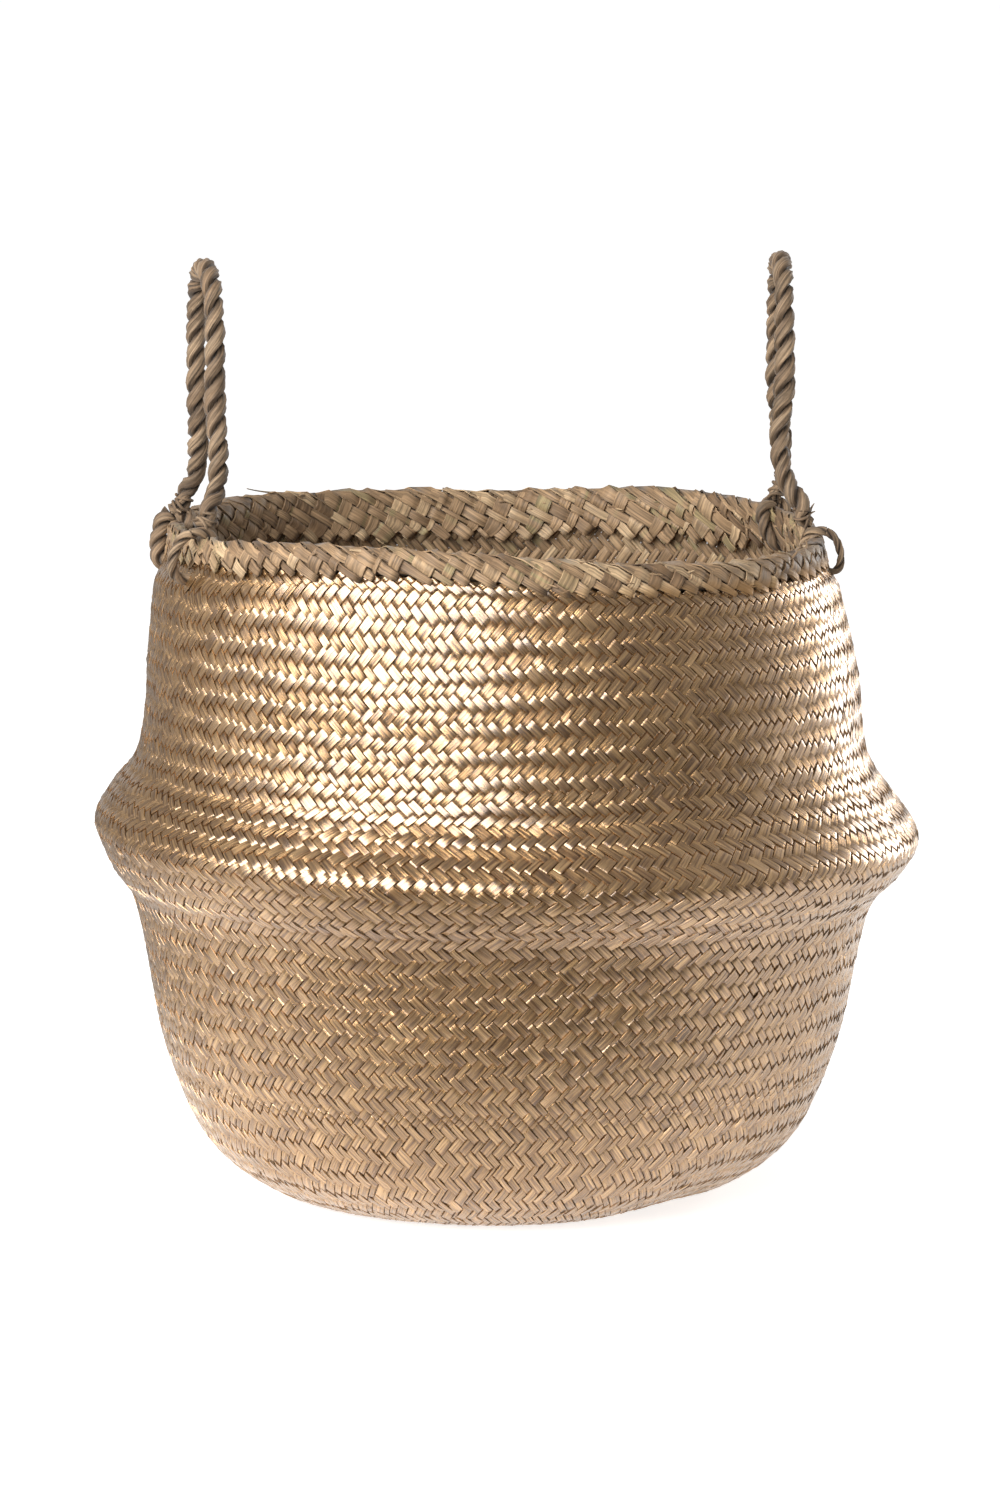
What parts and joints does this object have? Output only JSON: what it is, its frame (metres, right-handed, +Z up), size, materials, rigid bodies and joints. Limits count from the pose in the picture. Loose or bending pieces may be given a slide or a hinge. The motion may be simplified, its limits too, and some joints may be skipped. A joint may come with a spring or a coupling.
{
  "type": "rush belly basket",
  "caption": "Round plaited rush basket with a folding belly ridge, a dog-toothed plaited rim and two twisted rope handles.",
  "frame": {"origin": "middle of the flat base, on the floor", "axes": "+Z up through the mouth; the rope handles stand at -X and +X"},
  "size_m": [0.35, 0.35, 0.3987],
  "materials": {
    "gold_plait": "plaited rush sprayed with satin gold paint",
    "natural_plait": "bare dried rush, matt with a faint sheen along the fibres",
    "rope": "hand-twisted rush rope, matt and fibrous"
  },
  "bodies": {
    "lower": {"base": "gold_plait", "lower_wall": "gold_plait", "belly_fold": "gold_plait"},
    "upper": {"upper_wall": "gold_plait", "rim_braid": "natural_plait"},
    "handle_left": {"left_handle_rope": "rope", "left_lashing_front": "rope", "left_lashing_back": "rope"},
    "handle_right": {"right_handle_rope": "rope", "right_lashing_front": "rope", "right_lashing_back": "rope"}
  },
  "joints": [
    {"name": "fold_press", "type": "slide", "parent": "lower", "child": "upper", "axis": [0, 0, 1], "range_m": [-0.045, 0.008], "deforming": ["belly_fold"]},
    {"name": "left_handle_swing", "type": "hinge", "parent": "upper", "child": "handle_left", "pos_m": [-0.13649, 0, 0.278], "axis": [0, 1, 0], "range_deg": [-160, 82]},
    {"name": "right_handle_swing", "type": "hinge", "parent": "upper", "child": "handle_right", "pos_m": [0.13649, 0, 0.278], "axis": [0, -1, 0], "range_deg": [-160, 82]}
  ]
}
